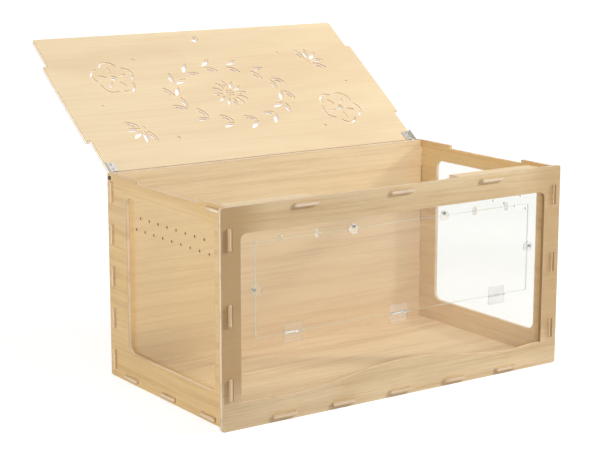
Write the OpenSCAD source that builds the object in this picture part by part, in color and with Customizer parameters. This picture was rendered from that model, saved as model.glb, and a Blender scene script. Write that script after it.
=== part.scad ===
// Slot-and-tab plywood hamster cage with clear panes, a drop-down front door
// and a lift-up lid. The lid is drawn open, leaning back on its bracket heels.
// X runs along the cage, Y from front to back, Z up. The origin is the middle
// of the front panel's bottom edge.

/* [Cage] */
// Length of the front panel, end to end
cage_length = 1000; // [840:10:1200]
// Depth from the front face to the rear edge of the side panels
cage_depth = 548; // [500:2:640]
// Height of the wall panels
cage_height = 510; // [470:2:600]
// Thickness of the plywood
ply = 9; // [8:0.5:10]
// Thickness of the clear panes
pane_t = 3; // [3:0.5:4]
// Radius of the panels' outer corners
corner_r = 6; // [3:1:8]

/* [Joints between panels] */
// How far the front panel runs past the side panels
front_overhang = 17.5; // [14:0.5:24]
// How far the side panels run past the back panel
rear_overhang = 20.5; // [20.5:0.5:26]
// Length of the tenons that join the walls
wall_tenon = 50; // [36:2:52]
// Length of the floor's tenons
floor_tenon = 62; // [40:2:76]
// Length of the top rail's tenons
rail_tenon = 64; // [40:2:80]
// How far a tenon stands out of the panel it passes through
tenon_proud = 6; // [3:0.5:8]
// Radius of a tenon's tip corners
tenon_tip_r = 2.5; // [1:0.5:3]
// Gap on each side of a tenon in its slot
slot_gap = 0.25; // [0.15:0.05:0.4]
// Height of the lowest front tenons of the side panels
side_tenon_low = 95; // [70:1:110]
// Drop of the highest front tenons below the panels' top
side_tenon_high = 72; // [60:1:90]
// Number of front tenons on each side panel
side_tenons = 3; // [2:1:4]
// Height of the back panel's lowest tenons
back_tenon_low = 45; // [45:1:60]
// Drop of the back panel's highest tenons below its top
back_tenon_high = 45; // [45:1:60]
// Number of tenons on each end of the back panel
back_tenons = 5; // [3:1:5]
// Height of the floor's underside above the ground
floor_lift = 8; // [5:1:8]
// Number of floor tenons along the front, and along the back
floor_long_tenons = 5; // [3:1:7]
// Number of floor tenons at each end
floor_end_tenons = 3; // [2:1:4]
// Distance of the floor's outer end tenons from the walls
floor_end_margin = 75; // [60:1:100]

/* [Top rail] */
// Depth of the rail, measured from the cage's front face
rail_depth = 90; // [80:2:100]
// Depth of the rail's narrow middle, measured from the cage's front face
rail_narrow = 32; // [26:1:40]
// Length of the hand recess in the rail
rail_recess = 430; // [300:10:520]
// Radius of the recess's inner corners
rail_recess_r = 8; // [4:1:14]
// Distance of the rail's outer tenons from the middle
rail_tenon_out = 274; // [240:2:320]
// Length of the tab at each end of the rail
rail_tab = 60; // [40:2:62]

/* [Front window] */
// Border beside the window
window_side = 51; // [46:1:70]
// Border above the window
window_top = 62; // [56:1:72]
// Border below the window at the wave's troughs
window_low = 56; // [44:1:70]
// Radius of the window's top corners
window_r = 16; // [8:1:24]
// Height of the wave's crest above its troughs
wave_rise = 31; // [16:1:36]
// Length of each slope of the wave
wave_slope = 335; // [200:5:340]
// How far the wave's crest lies right of the middle
wave_offset = 20; // [0:2:40]
// How far the border rises again from the troughs to the window's ends
wave_ends = 5; // [0:0.5:8]

/* [Side windows] */
// Distance of the side windows from the cage's front face
side_window_front = 56; // [44:1:70]
// Border behind the side windows
side_window_rear = 91; // [76:1:110]
// Border above the side windows
side_window_top = 47; // [44:1:60]
// Border below the side windows
side_window_low = 76; // [56:1:90]
// Radius of the side windows' corners
side_window_r = 22; // [12:1:30]
// Diameter of the vent holes
vent_d = 8; // [5:0.5:10]
// Number of vent holes in the lower row, one more than in the upper
vent_count = 9; // [5:1:12]
// Distance of the lower row's end holes from the window's ends
vent_margin = 35; // [20:1:50]
// Distance between the two vent rows
vent_row_gap = 30; // [18:1:36]
// Drop of the upper vent row below the cage's top
vent_drop = 92; // [84:1:110]

/* [Panes] */
// Gap between a pane and the panel it lies on
pane_play = 0.1; // [0.05:0.05:0.2]
// How far a pane's edge stays inside the panel's outline
pane_inset = 1; // [0.5:0.5:3]
// Drop of the side panes' top edge below the panels' top
side_pane_drop = 30; // [28:1:36]
// How far the side panes run past the back panel
side_pane_tail = 12; // [6:1:14]
// Radius of the side panes' corners
pane_r = 4; // [2:1:6]

/* [Door] */
// Distance of the door's ends from the front panel's ends
door_end = 97; // [84:1:120]
// Height of the door's bottom edge above the ground
door_low = 203; // [190:1:206]
// Drop of the door's top edge below the cage's top
door_drop = 89; // [88:1:110]
// Radius of the door's top corners
door_r = 6; // [3:1:10]
// Gap round the door
door_gap = 1.2; // [0.8:0.1:1.6]
// How far the door stands forward of the fixed pane
door_forward = 0.3; // [0.2:0.1:0.5]
// Thickness of the glue under the clear fittings
glue_t = 0.1; // [0.05:0.05:0.2]
// Length of a door hinge
hinge_length = 50; // [36:2:64]
// Height of a hinge leaf
hinge_leaf = 19; // [14:1:24]
// Thickness of a hinge leaf
hinge_t = 2; // [1.5:0.1:2]
// Radius of a hinge knuckle
knuckle_r = 2.6; // [2.4:0.1:2.6]
// Diameter of a hinge pin
hinge_pin_d = 2.4; // [2:0.1:2.6]
// Number of knuckles on a hinge
knuckles = 5; // [3:2:7]
// Distance of the outer hinges from the door's ends
hinge_margin = 99; // [60:1:140]
// Diameter of the round catches on the door's edge
disc_d = 26; // [24:1:30]
// Thickness of the round catches
disc_t = 3.5; // [3:0.5:4]
// Diameter of the catch magnets
magnet_d = 8; // [6:0.5:8]
// Thickness of the catch magnets
magnet_t = 2; // [1.5:0.1:2]
// Distance of a magnet's middle from the door's edge
magnet_out = 6.5; // [6:0.5:7]
// Distance of the top catches from the middle
disc_top_out = 134; // [80:2:180]
// Height of the end catches above the door's middle
disc_end_rise = 2; // [-40:2:40]
// Width of a door stop
stop_w = 10; // [8:1:14]
// Height of a door stop
stop_h = 20; // [14:1:24]
// Thickness of a door stop
stop_t = 3; // [2:0.5:4]
// Distance of the outer door stops from the door's ends
stop_outer_in = 69; // [40:1:90]
// Distance between the inner and the outer door stops
stop_pitch = 101; // [60:1:110]

/* [Lid] */
// Gap between the lid and the side panels
lid_gap = 1; // [0.6:0.1:1]
// Gap in front of the lid
lid_front_gap = 1.5; // [1:0.1:3]
// Clearance of the lid's rear edge past the back panel as it swings
lid_swing_gap = 0.8; // [0.5:0.1:2]
// Gap under the lid where it sits on the rail and in the recesses
seat_gap = 0.3; // [0.2:0.1:0.6]
// Distance of the lid's recesses from the cage's front face
recess_front = 117; // [106:1:140]
// Distance of the lid's recesses from the side panels' rear edge
recess_rear = 146; // [110:1:190]
// Gap at each end of a lid tab in its recess
tab_gap = 2; // [1.5:0.5:4]
// How far the lid's tabs stand out past the side panels
tab_proud = 4; // [2:0.5:6]
// Diameter of the finger hole
finger_hole_d = 22; // [18:1:28]
// Distance of the finger hole from the lid's front edge
finger_hole_in = 37; // [26:1:46]
// Angle that the lid is open
lid_open = 144.5; // [120:0.5:148]

/* [Lid ornament] */
// Width of the cut lines
cut_w = 6; // [4:0.5:8]
// Radius of a blossom's petals
petal_r = 25; // [20:1:28]
// Distance of a blossom's petals from its middle
petal_out = 36; // [32:1:40]
// Distance of the blossoms and sprigs from the lid's middle
corner_motif_out = 310; // [290:5:330]
// Length of the wreath
wreath_length = 330; // [300:10:350]
// Height of the wreath
wreath_height = 222; // [210:2:236]
// Number of leaf pairs in the wreath
wreath_pairs = 14; // [10:1:14]
// Length of a leaf
leaf_length = 42; // [34:1:46]
// Width of a leaf
leaf_width = 13; // [9:1:14]
// Number of seed-shaped petals on the middle flower
seed_count = 12; // [8:1:14]
// Diameter of the berries and scattered dots
dot_d = 9; // [6:0.5:10]

/* [Lid pivots] */
// Distance of the pivots from the side panels' rear edge
pivot_rear = 13; // [12:0.5:13]
// Drop of the pivots below the panels' top
pivot_drop = 11.5; // [10:0.5:11.5]
// Diameter of the pivot bolts
pivot_bolt_d = 5; // [4:0.5:5]
// Diameter of the pivot bolts' heads
pivot_head_d = 11; // [9:0.5:12]
// Thickness of the pivot bolts' heads
pivot_head_t = 3; // [2.5:0.5:4]
// Width of the hex socket across its flats
socket_w = 3; // [2.5:0.5:4]
// Radius of a bracket's eye
eye_r = 6.5; // [6:0.1:6.5]
// Thickness of the brackets
bracket_t = 2; // [1.5:0.5:2]
// Width of a bracket's plate
plate_w = 26; // [20:1:34]
// Length of a bracket's plate
plate_l = 30; // [24:1:40]
// Radius of a plate's free corners
plate_r = 3; // [1:0.5:5]
// How far a bracket's heel reaches from its pivot
heel_out = 15; // [14:0.5:17]
// Width of the heel behind the pivot
heel_back = 4; // [3:0.5:6]
// Gap between a heel and the back panel with the lid open
heel_gap = 0.3; // [0.2:0.1:0.5]
// Thickness of the pivot washers
washer_t = 1; // [1:0.1:1.4]
// Diameter of the pivot washers
washer_d = 12; // [10:0.5:12]
// Width of the pivot nuts across their flats
nut_w = 8; // [7.5:0.5:9]
// Thickness of the pivot nuts
nut_t = 4; // [3:0.5:5]
// Radial running gap of the pins and bolts
run_gap = 0.05; // [0.02:0.01:0.08]
// Play between a turning part and its neighbour along the axis
side_play = 0.3; // [0.2:0.05:0.4]
// Gap round a bracket in the back panel's notch
notch_gap = 1; // [1:0.5:2]
// Diameter of the lid screws' shanks
lid_screw_d = 3.5; // [3:0.5:4]
// Diameter of the lid screws' heads
lid_screw_head_d = 7; // [6:0.5:8]
// Thickness of the lid screws' heads
screw_head_t = 2; // [1.5:0.5:2.5]
// Wood left above the tips of the lid screws
screw_cover = 2.5; // [2:0.5:4]

/* [Hidden] */
$fn = 64;

// Planes of the walls
front_y = -ply / 2;
pane_y = front_y + ply + pane_play;
front_in_y = pane_y + pane_t;
rear_y = front_y + cage_depth;
back_out_y = rear_y - rear_overhang;
back_in_y = back_out_y - ply;
side_out_x = cage_length / 2 - front_overhang;
side_in_x = side_out_x - ply;
side_pane_x = side_in_x - pane_play - pane_t;

// Levels of the floor, the rail and the closed lid
floor_top = floor_lift + ply;
lid_under = cage_height - ply;
rail_top = lid_under - seat_gap;
rail_low = rail_top - ply;
side_pane_top = cage_height - side_pane_drop;

// Places and reaches of the tenons
side_tenon_x = side_out_x - ply / 2;
side_tenon_z = spread(side_tenon_low, cage_height - side_tenon_high, side_tenons);
back_tenon_z = spread(back_tenon_low, cage_height - back_tenon_high, back_tenons);
back_mid_y = (back_in_y + back_out_y) / 2;
floor_mid_z = floor_lift + ply / 2;
floor_pitch = cage_length / (floor_long_tenons + 1);
floor_long_x = [for (i = [1:floor_long_tenons]) i * floor_pitch - cage_length / 2];
floor_end_y = spread(front_in_y + floor_end_margin, back_in_y - floor_end_margin, floor_end_tenons);
rail_mid_z = rail_low + ply / 2;
rail_tenon_x = [-rail_tenon_out, 0, rail_tenon_out];
rail_tab_y = (front_in_y + front_y + rail_depth) / 2;
one_sheet = ply + tenon_proud;
two_sheets = pane_play + pane_t + ply + tenon_proud;

// Windows
window_w = cage_length - 2 * window_side;
window_high_z = cage_height - window_top;
side_window_y = [front_y + side_window_front, rear_y - side_window_rear];
side_window_z = [side_window_low, cage_height - side_window_top];
vent_low_z = cage_height - vent_drop - vent_row_gap;
vent_y = spread(side_window_y[0] + vent_margin, side_window_y[1] - vent_margin, vent_count);

// Door, in the front pane's plane
door_length = cage_length - 2 * door_end;
door_top = cage_height - door_drop;
door_out_y = pane_y - door_forward;
catch_y = door_out_y - glue_t;
hinge_y = pane_y - 3;
hinge_z = door_low - door_gap / 2;
hinge_x = [hinge_margin - door_length / 2, 0, door_length / 2 - hinge_margin];
leaf_start = knuckle_r + 0.5;
knuckle_length = hinge_length / knuckles;
pin_head_t = 0.8;
pin_head_d = 2 * knuckle_r - 1;
end_disc_z = (door_low + door_top) / 2 + disc_end_rise;
DISCS = [
    [-door_length / 2, end_disc_z, -1, 0],
    [door_length / 2, end_disc_z, 1, 0],
    [-disc_top_out, door_top, 0, 1],
    [disc_top_out, door_top, 0, 1]
];
magnet_fit = 0.05;
stop_outer = door_length / 2 - stop_outer_in;
stop_x = [-stop_outer, stop_pitch - stop_outer, stop_outer - stop_pitch, stop_outer];

// Lid, pivots and brackets, with the lid closed
pivot_y = rear_y - pivot_rear;
pivot_z = cage_height - pivot_drop;
lid_reach = norm([pivot_y - back_in_y, pivot_drop]) + lid_swing_gap;
lid_rear_y = pivot_y - lid_reach;
lid_front_y = front_in_y + lid_front_gap;
lid_mid_y = (lid_rear_y + lid_front_y) / 2;
lid_half = side_in_x - lid_gap;
tab_y = [front_y + recess_front + tab_gap, rear_y - recess_rear - tab_gap];
arm_out_x = side_in_x - washer_t - side_play;
arm_in_x = arm_out_x - bracket_t;
notch_x = arm_in_x - notch_gap;
notch_z = pivot_z - eye_r - notch_gap;
bracket_front_y = lid_rear_y - plate_l;
heel_front = pivot_y - back_out_y - heel_gap;
lid_screw_y = [bracket_front_y + plate_l / 4, bracket_front_y + plate_l * 3 / 4];
lid_screw_x = arm_in_x - (plate_w - bracket_t) / 2;
nut_x = arm_in_x - side_play - nut_t;
bolt_end_x = nut_x - 1.5;
thread_gap = 0.02;

function spread(low, high, count) = [for (i = [0:count - 1]) low + (high - low) * i / (count - 1)];

// ---------- shapes that repeat ----------

// A sheet in the XZ plane, with its front face at y
module upright(y, t) {
    translate([0, y + t, 0]) rotate([90, 0, 0]) linear_extrude(t) children();
}

// A sheet in the YZ plane, from x towards +X
module standing(x, t) {
    translate([x, 0, 0]) rotate([90, 0, 90]) linear_extrude(t) children();
}

// A rectangle on the X axis, with one radius at its top and one at its foot
module window_2d(w, h, r_top, r_low) {
    translate([-w / 2, r_low]) square([w, h - r_low - r_top]);
    translate([r_top - w / 2, h - r_top]) square([w - 2 * r_top, r_top]);
    translate([r_low - w / 2, 0]) square([w - 2 * r_low, r_low]);
    for (side = [-1, 1]) {
        translate([side * (w / 2 - r_top), h - r_top]) circle(r_top);
        translate([side * (w / 2 - r_low), r_low]) circle(r_low);
    }
}

// A rectangle with round corners between two spans
module rounded_2d(x_span, y_span, r) {
    translate([(x_span[0] + x_span[1]) / 2, y_span[0]])
        window_2d(x_span[1] - x_span[0], y_span[1] - y_span[0], r, r);
}

// A tenon that leaves an edge at y = 0 towards +Y, rooted inside the panel
module tenon_2d(w, reach) {
    translate([-w / 2, -ply]) square([w, ply + reach - tenon_tip_r]);
    translate([tenon_tip_r - w / 2, 0]) square([w - 2 * tenon_tip_r, reach]);
    for (side = [-1, 1])
        translate([side * (w / 2 - tenon_tip_r), reach - tenon_tip_r]) circle(tenon_tip_r);
}

// The slot for a tenon of width w
module slot_2d(w) {
    square([w + 2 * slot_gap, ply + 2 * slot_gap], center = true);
}

// ---------- plywood panels ----------

// Height of the lower border at x: one cosine to the crest, and one from each trough to its end
function wave_z(x) =
    let (
        d = abs(x - wave_offset),
        side = x < wave_offset ? 1 : -1,
        end = window_w / 2 + side * wave_offset - wave_slope
    )
    d <= wave_slope ? window_low + wave_rise * (1 + cos(180 * d / wave_slope)) / 2
    : window_low + wave_ends * (1 - cos(180 * (d - wave_slope) / end)) / 2;

module wave_2d() {
    steps = 72;
    top = [for (i = [0:steps]) let (x = window_w * (i / steps - 0.5)) [x, wave_z(x)]];
    foot = [[window_w / 2 + 1, window_low - 1], [-window_w / 2 - 1, window_low - 1]];
    ends = [[window_w / 2 + 1, wave_z(window_w / 2)]];
    polygon(concat([[-window_w / 2 - 1, wave_z(-window_w / 2)]], top, ends, foot));
}

module front_window_2d() {
    difference() {
        translate([0, window_low]) window_2d(window_w, window_high_z - window_low, window_r, 1);
        wave_2d();
    }
}

// Slots that the front panel and the front pane share
module front_slots_2d() {
    for (side = [-1, 1], z = side_tenon_z)
        translate([side * side_tenon_x, z]) rotate(90) slot_2d(wall_tenon);
    for (x = rail_tenon_x) translate([x, rail_mid_z]) slot_2d(rail_tenon);
    for (x = floor_long_x) translate([x, floor_mid_z]) slot_2d(floor_tenon);
}

module front_panel() {
    color("burlywood") upright(front_y, ply) difference() {
        rounded_2d([-cage_length / 2, cage_length / 2], [0, cage_height], corner_r);
        front_window_2d();
        front_slots_2d();
    }
}

// Slots that a side panel and its pane share
module side_slots_2d() {
    for (z = back_tenon_z) translate([back_mid_y, z]) rotate(90) slot_2d(wall_tenon);
    for (y = floor_end_y) translate([y, floor_mid_z]) slot_2d(floor_tenon);
}

module side_outline_2d() {
    square_l = corner_r + 1;
    rounded_2d([front_in_y, rear_y], [0, cage_height], corner_r);
    translate([front_in_y, 0]) square([square_l, cage_height]);
    for (z = side_tenon_z)
        translate([front_in_y, z]) rotate(90) tenon_2d(wall_tenon, two_sheets);
}

module side_panel() {
    color("burlywood") standing(side_in_x, ply) difference() {
        side_outline_2d();
        rounded_2d(side_window_y, side_window_z, side_window_r);
        translate([front_y + recess_front, lid_under - seat_gap])
            square([cage_depth - recess_front - recess_rear, ply + 1]);
        side_slots_2d();
        translate([rail_tab_y, rail_mid_z]) slot_2d(rail_tab);
        translate([pivot_y, pivot_z]) circle(d = pivot_bolt_d + 2 * run_gap);
    }
}

module back_panel() {
    color("burlywood") upright(back_in_y, ply) difference() {
        union() {
            translate([-side_pane_x, 0]) square([2 * side_pane_x, cage_height]);
            translate([-side_in_x, side_pane_top + 1])
                square([2 * side_in_x, side_pane_drop - 1]);
            for (side = [-1, 1], z = back_tenon_z)
                translate([side * side_pane_x, z]) rotate(-90 * side) tenon_2d(wall_tenon, two_sheets);
        }
        for (side = [-1, 1])
            translate([side * side_in_x, cage_height])
                square([2 * (side_in_x - notch_x), 2 * (cage_height - notch_z)], center = true);
        for (x = floor_long_x) translate([x, floor_mid_z]) slot_2d(floor_tenon);
    }
}

module floor_panel() {
    color("burlywood") translate([0, 0, floor_lift]) linear_extrude(ply) {
        translate([-side_pane_x, front_in_y]) square([2 * side_pane_x, back_in_y - front_in_y]);
        for (x = floor_long_x) {
            translate([x, front_in_y]) rotate(180) tenon_2d(floor_tenon, two_sheets);
            translate([x, back_in_y]) tenon_2d(floor_tenon, one_sheet);
        }
        for (side = [-1, 1], y = floor_end_y)
            translate([side * side_pane_x, y]) rotate(-90 * side) tenon_2d(floor_tenon, two_sheets);
    }
}

module top_rail() {
    color("burlywood") translate([0, 0, rail_low]) linear_extrude(ply) {
        difference() {
            translate([-side_in_x, front_in_y]) square([2 * side_in_x, front_y + rail_depth - front_in_y]);
            rounded_2d([-rail_recess / 2, rail_recess / 2],
                [front_y + rail_narrow, front_y + 2 * rail_depth], rail_recess_r);
        }
        for (x = rail_tenon_x)
            translate([x, front_in_y]) rotate(180) tenon_2d(rail_tenon, two_sheets);
        for (side = [-1, 1])
            translate([side * side_in_x, rail_tab_y]) rotate(-90 * side) tenon_2d(rail_tab, one_sheet);
    }
}

// ---------- lid ----------

// Turns the closed lid and its fittings back to the open pose
module opened() {
    translate([0, pivot_y, pivot_z]) rotate([-lid_open, 0, 0]) translate([0, -pivot_y, -pivot_z]) children();
}

// A pointed leaf along +X from the origin
module leaf_2d(l, w) {
    r = (l * l + w * w) / (4 * w);
    translate([l / 2, 0]) intersection() {
        translate([0, r - w / 2]) circle(r);
        translate([0, w / 2 - r]) circle(r);
    }
}

// A curved cut of mean radius r, centred on +X
module arc_cut_2d(r, span) {
    far = 2 * r;
    intersection() {
        difference() {
            circle(r + cut_w / 2);
            circle(r - cut_w / 2);
        }
        polygon([[0, 0], far * [cos(span / 2), -sin(span / 2)], [far, 0], far * [cos(span / 2), sin(span / 2)]]);
    }
}

module blossom_2d() {
    petals = 5;
    for (i = [0:petals - 1]) rotate(90 + i * 360 / petals) {
        translate([petal_out, 0]) arc_cut_2d(petal_r, 138);
        translate([petal_out / 2, 0]) leaf_2d(petal_r, cut_w);
    }
    circle(d = 2 * dot_d);
}

module sprig_2d() {
    for (a = [-70, -35, 0, 35, 70]) rotate(a) translate([leaf_width, 0]) leaf_2d(leaf_length, leaf_width);
    circle(d = dot_d);
}

module wreath_2d() {
    step = 360 / wreath_pairs;
    for (i = [0:wreath_pairs - 1]) {
        a = i * step;
        along = [-wreath_length * sin(a), wreath_height * cos(a)];
        turn = atan2(along[1], along[0]);
        b = a + step / 2;
        translate([wreath_length / 2 * cos(a), wreath_height / 2 * sin(a)]) rotate(turn)
            for (side = [-1, 1]) rotate(side * 30) translate([leaf_width / 2, 0])
                leaf_2d(leaf_length, leaf_width);
    }
}

module sunflower_2d() {
    seed_start = 20;
    for (i = [0:seed_count - 1]) rotate(i * 360 / seed_count)
        translate([seed_start, 0]) leaf_2d(leaf_length * 0.75, leaf_width * 0.75);
    for (i = [0:5]) rotate(i * 60) translate([seed_start / 2, 0]) circle(d = dot_d * 0.7);
    circle(d = dot_d * 0.7);
}

module ornament_2d() {
    rise = corner_motif_out / 3.4;
    wreath_2d();
    sunflower_2d();
    for (side = [-1, 1]) {
        translate([side * corner_motif_out, side * rise]) rotate(90 - side * 90) blossom_2d();
        translate([side * corner_motif_out, -side * rise * 1.1]) rotate(50 - side * 90) sprig_2d();
        translate([side * corner_motif_out * 0.72, side * rise * 1.7]) circle(d = dot_d);
        translate([side * corner_motif_out * 1.25, -side * rise * 0.1]) circle(d = dot_d);
        translate([side * corner_motif_out * 0.74, -side * rise * 1.6]) circle(d = dot_d);
    }
}

module lid_panel() {
    color("burlywood") opened() translate([0, 0, lid_under]) difference() {
        linear_extrude(ply) difference() {
            union() {
                rounded_2d([-lid_half, lid_half], [lid_front_y, lid_rear_y], corner_r);
                rounded_2d([-side_out_x - tab_proud, side_out_x + tab_proud], tab_y, corner_r / 2);
            }
            translate([0, lid_front_y + finger_hole_in]) circle(d = finger_hole_d);
            translate([0, lid_mid_y + ply]) ornament_2d();
        }
        for (side = [-1, 1], y = lid_screw_y)
            translate([side * lid_screw_x, y, -1])
                cylinder(d = lid_screw_d + 2 * thread_gap, h = ply - screw_cover + 1);
    }
}

// Fittings of the right-hand pivot; the left-hand ones mirror them
module lid_bracket() {
    color("silver") opened() {
        standing(arm_in_x, bracket_t) difference() {
            union() {
                translate([pivot_y, pivot_z]) circle(eye_r);
                translate([bracket_front_y, pivot_z - eye_r])
                    square([pivot_y - bracket_front_y, lid_under - pivot_z + eye_r]);
                translate([pivot_y, pivot_z]) rotate(lid_open) translate([-heel_front, -heel_out])
                    square([heel_front + heel_back, heel_out]);
            }
            translate([pivot_y, pivot_z]) circle(d = pivot_bolt_d + 2 * run_gap);
        }
        translate([0, 0, lid_under - bracket_t]) linear_extrude(bracket_t) difference() {
            union() {
                rounded_2d([arm_out_x - plate_w, arm_in_x], [bracket_front_y, lid_rear_y], plate_r);
                translate([arm_in_x - plate_w / 2, bracket_front_y]) square([plate_w / 2 + bracket_t, plate_l]);
            }
            for (y = lid_screw_y) translate([lid_screw_x, y]) circle(d = lid_screw_d + 2 * thread_gap);
        }
    }
}

module lid_screws() {
    cone_t = screw_head_t / 2;
    color("silver") opened() for (y = lid_screw_y)
        translate([lid_screw_x, y, lid_under - bracket_t]) difference() {
            union() {
                cylinder(d = lid_screw_d, h = bracket_t + ply - screw_cover);
                translate([0, 0, -cone_t]) cylinder(d = lid_screw_head_d, h = cone_t);
                translate([0, 0, -screw_head_t])
                    cylinder(d1 = lid_screw_head_d - screw_head_t, d2 = lid_screw_head_d, h = cone_t);
            }
            for (turn = [0, 90]) rotate(turn)
                translate([0, 0, -screw_head_t]) cube([lid_screw_head_d / 2, 1, cone_t * 2 - 0.4], center = true);
        }
}

// Turns a part drawn along +Z to lie along +X on the pivot, from x
module on_pivot(x) {
    translate([x, pivot_y, pivot_z]) rotate([0, 90, 0]) children();
}

module pivot_bolt() {
    rim = 0.8;
    color("dimgray") difference() {
        union() {
            on_pivot(bolt_end_x) cylinder(d = pivot_bolt_d, h = side_out_x - bolt_end_x + 1);
            on_pivot(side_out_x) cylinder(d = pivot_head_d, h = pivot_head_t - rim);
            on_pivot(side_out_x + pivot_head_t - rim)
                cylinder(d1 = pivot_head_d, d2 = pivot_head_d - 2 * rim, h = rim);
        }
        on_pivot(side_out_x + pivot_head_t / 2) cylinder(d = socket_w / cos(30), h = pivot_head_t, $fn = 6);
    }
}

module pivot_washer() {
    color("silver") difference() {
        on_pivot(side_in_x - washer_t) cylinder(d = washer_d, h = washer_t);
        on_pivot(arm_out_x) cylinder(d = pivot_bolt_d + 2 * run_gap, h = washer_t + 2);
    }
}

module pivot_nut() {
    color("silver") difference() {
        on_pivot(nut_x) cylinder(d = nut_w / cos(30), h = nut_t, $fn = 6);
        on_pivot(nut_x - 1) cylinder(d = pivot_bolt_d + 2 * thread_gap, h = nut_t + 2);
    }
}

// ---------- panes ----------

module front_pane() {
    color("lightcyan", 0.35) difference() {
        upright(pane_y, pane_t) difference() {
            rounded_2d([pane_inset - cage_length / 2, cage_length / 2 - pane_inset],
                [pane_inset, cage_height - pane_inset], corner_r);
            front_slots_2d();
            translate([0, door_low - door_gap])
                window_2d(door_length + 2 * door_gap, door_top - door_low + 2 * door_gap, door_r, 1);
        }
        for (d = DISCS) magnet_at(d, pane_y - 1, magnet_t + 1, magnet_fit);
    }
}

module side_pane() {
    color("lightcyan", 0.35) standing(side_pane_x, pane_t) difference() {
        rounded_2d([front_in_y, back_out_y + side_pane_tail], [pane_inset, side_pane_top], pane_r);
        side_slots_2d();
        for (i = [0:vent_count - 1]) translate([vent_y[i], vent_low_z]) circle(d = vent_d);
        for (i = [1:vent_count - 1])
            translate([(vent_y[i - 1] + vent_y[i]) / 2, vent_low_z + vent_row_gap]) circle(d = vent_d);
    }
}

// ---------- door ----------

module door_pane() {
    color("lightcyan", 0.35) upright(door_out_y, pane_t)
        translate([0, door_low]) window_2d(door_length, door_top - door_low, door_r, 1);
}

// A round peg along +Y at a catch's magnet, from y
module magnet_at(d, y, h, fit) {
    translate([d[0] + d[2] * magnet_out, y, d[1] + d[3] * magnet_out])
        rotate([-90, 0, 0]) cylinder(d = magnet_d + 2 * fit, h = h);
}

module door_disc(i) {
    rim = 0.8;
    color("lightcyan", 0.5) difference() {
        translate([DISCS[i][0], catch_y, DISCS[i][1]]) rotate([90, 0, 0]) {
            cylinder(d = disc_d, h = disc_t - rim);
            translate([0, 0, disc_t - rim]) cylinder(d1 = disc_d, d2 = disc_d - 2 * rim, h = rim);
        }
        magnet_at(DISCS[i], catch_y - magnet_t, magnet_t + 1, magnet_fit);
    }
}

module door_magnets() {
    color("silver") for (d = DISCS) magnet_at(d, catch_y - magnet_t, magnet_t, 0);
}

module pane_magnets() {
    color("silver") for (d = DISCS) magnet_at(d, pane_y, magnet_t, 0);
}

// A hinge leaf above the pin, with its face at y and every second knuckle from the first given
module hinge_leaf_up(y, first) {
    l = knuckle_length - side_play;
    color("lightcyan", 0.5) difference() {
        union() {
            upright(y - hinge_t, hinge_t) translate([0, leaf_start])
                window_2d(hinge_length - side_play, hinge_leaf, 3, 0.5);
            for (k = [first:2:knuckles - 1])
                translate([k * knuckle_length + (side_play - hinge_length) / 2, 0, 0]) {
                    translate([0, hinge_y, 0]) rotate([0, 90, 0]) cylinder(r = knuckle_r, h = l);
                    translate([0, y - hinge_t, 0]) cube([l, hinge_t, leaf_start + 1]);
                }
        }
        translate([-hinge_length, hinge_y, 0]) rotate([0, 90, 0])
            cylinder(d = hinge_pin_d + 2 * run_gap, h = 2 * hinge_length);
    }
}

module hinge_door_leaf(i) {
    translate([hinge_x[i], 0, hinge_z]) hinge_leaf_up(door_out_y - glue_t, 1);
}

module hinge_pane_leaf(i) {
    translate([hinge_x[i], 0, hinge_z]) mirror([0, 0, 1]) hinge_leaf_up(pane_y - glue_t, 0);
}

module hinge_pin(i) {
    color("silver") translate([hinge_x[i], hinge_y, hinge_z]) rotate([0, 90, 0]) {
        cylinder(d = hinge_pin_d, h = hinge_length, center = true);
        for (side = [0, 1]) mirror([0, 0, side]) translate([0, 0, hinge_length / 2])
            cylinder(d = pin_head_d, h = pin_head_t);
    }
}

module door_stop(i) {
    color("lightcyan", 0.5) upright(front_in_y + glue_t, stop_t)
        translate([stop_x[i], door_top - stop_h / 2]) window_2d(stop_w, stop_h, 2, 2);
}

front_panel();
mirror([1, 0, 0]) side_panel();  // left_side_panel
side_panel();  // right_side_panel
back_panel();
floor_panel();
top_rail();
lid_panel();
front_pane();
mirror([1, 0, 0]) side_pane();  // left_pane
side_pane();  // right_pane
door_pane();
hinge_pane_leaf(0);  // door_hinge_pane_leaf_1
hinge_pane_leaf(1);  // door_hinge_pane_leaf_2
hinge_pane_leaf(2);  // door_hinge_pane_leaf_3
hinge_door_leaf(0);  // door_hinge_door_leaf_1
hinge_door_leaf(1);  // door_hinge_door_leaf_2
hinge_door_leaf(2);  // door_hinge_door_leaf_3
hinge_pin(0);  // door_hinge_pin_1
hinge_pin(1);  // door_hinge_pin_2
hinge_pin(2);  // door_hinge_pin_3
door_disc(0);  // door_disc_left
door_disc(1);  // door_disc_right
door_disc(2);  // door_disc_top_left
door_disc(3);  // door_disc_top_right
door_magnets();
pane_magnets();
door_stop(0);  // door_stop_1
door_stop(1);  // door_stop_2
door_stop(2);  // door_stop_3
door_stop(3);  // door_stop_4
mirror([1, 0, 0]) lid_bracket();  // lid_bracket_left
lid_bracket();  // lid_bracket_right
mirror([1, 0, 0]) lid_screws();  // lid_screws_left
lid_screws();  // lid_screws_right
mirror([1, 0, 0]) pivot_bolt();  // pivot_bolt_left
pivot_bolt();  // pivot_bolt_right
mirror([1, 0, 0]) pivot_washer();  // pivot_washer_left
pivot_washer();  // pivot_washer_right
mirror([1, 0, 0]) pivot_nut();  // pivot_nut_left
pivot_nut();  // pivot_nut_right
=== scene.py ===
"""Finishes and stage for a slot-and-tab plywood hamster cage with clear panes."""

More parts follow.
